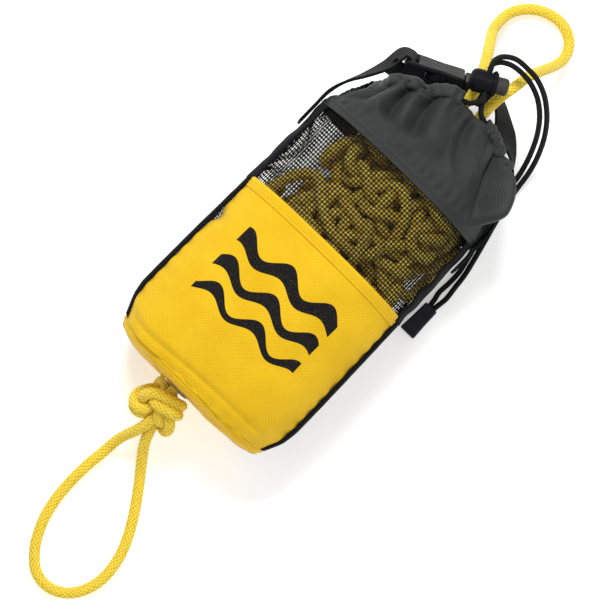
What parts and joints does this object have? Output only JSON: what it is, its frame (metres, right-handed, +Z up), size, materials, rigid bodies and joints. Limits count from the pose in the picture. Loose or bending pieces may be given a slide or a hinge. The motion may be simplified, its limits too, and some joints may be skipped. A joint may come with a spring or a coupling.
{
  "type": "throw rope bag",
  "caption": "Rescue throw bag lying on its back: yellow and mesh body stuffed with floating rope, grey drawcord mouth, webbing strap with side-release buckle, rope loops at both ends.",
  "frame": {"origin": "middle of the flat of the bag's back, where it rests on the floor", "axes": "+Y along the bag towards its mouth, +Z up out of its front, +X to the side where the drawcord's end lies"},
  "size_m": [0.1279, 0.4244, 0.0762],
  "materials": {
    "coated_yellow": "coated nylon, satin",
    "coated_grey": "coated nylon, matt",
    "mesh": "open square mesh, matt",
    "webbing": "woven, matt",
    "cord": "braided, satin",
    "rope": "braided, satin",
    "hard_plastic": "moulded, satin",
    "button": "moulded, satin",
    "cord_end": "moulded, satin",
    "foam": "closed cell, matt",
    "metal": "plated, satin"
  },
  "bodies": {
    "bag": {"front_panel": "coated_yellow", "window_mesh": "mesh", "back_mesh": "mesh", "side_tape_left": "webbing", "side_tape_right": "webbing", "base_disc": "coated_yellow", "foam_disc": "foam", "grommet": "metal", "grommet_washer": "metal", "collar": "coated_grey", "drawcord_casing": "coated_grey", "rope_fill": "rope", "rope_shank": "rope", "stopper_knot": "rope", "base_knot": "rope", "base_loop": "rope", "mouth_knot": "rope", "mouth_loop": "rope", "drawcord_in_casing": "cord", "drawcord_outer": "cord", "drawcord_inner": "cord", "cord_end_base": "cord_end", "cord_end_cover": "cord_end", "strap_left": "webbing", "strap_right": "webbing", "buckle_socket": "hard_plastic"},
    "buckle_plug": {"buckle_plug": "hard_plastic"},
    "prong_upper": {"buckle_prong_upper": "hard_plastic"},
    "prong_lower": {"buckle_prong_lower": "hard_plastic"},
    "cord_lock": {"lock_barrel": "hard_plastic", "lock_spring": "metal"},
    "lock_button": {"lock_plunger": "button"}
  },
  "joints": [
    {"name": "buckle_release", "type": "slide", "parent": "bag", "child": "buckle_plug", "axis": [0.9003, 0.4352, 0], "range_m": [0, 0.022], "deforming": ["strap_right", "buckle_prong_upper", "buckle_prong_lower"]},
    {"name": "prong_upper_squeeze", "type": "hinge", "parent": "buckle_plug", "child": "prong_upper", "pos_m": [-0.0084, 0.14215, 0.03945], "axis": [0.409, -0.846, -0.342], "range_deg": [0, 12], "stiffness_Nm_per_rad": 0.05},
    {"name": "prong_lower_squeeze", "type": "hinge", "parent": "buckle_plug", "child": "prong_lower", "pos_m": [-0.01061, 0.14671, 0.02555], "axis": [-0.409, 0.846, 0.342], "range_deg": [0, 12], "stiffness_Nm_per_rad": 0.05},
    {"name": "cord_lock_slide", "type": "slide", "parent": "bag", "child": "cord_lock", "axis": [-0.5, 0.866, 0], "range_m": [0, 0.012], "deforming": ["drawcord_outer", "drawcord_inner"]},
    {"name": "button_press", "type": "slide", "parent": "cord_lock", "child": "lock_button", "axis": [-0.866, -0.5, 0], "range_m": [0, 0.003], "stiffness_N_per_m": 400, "springref_m": -0.003, "deforming": ["lock_spring"]}
  ]
}
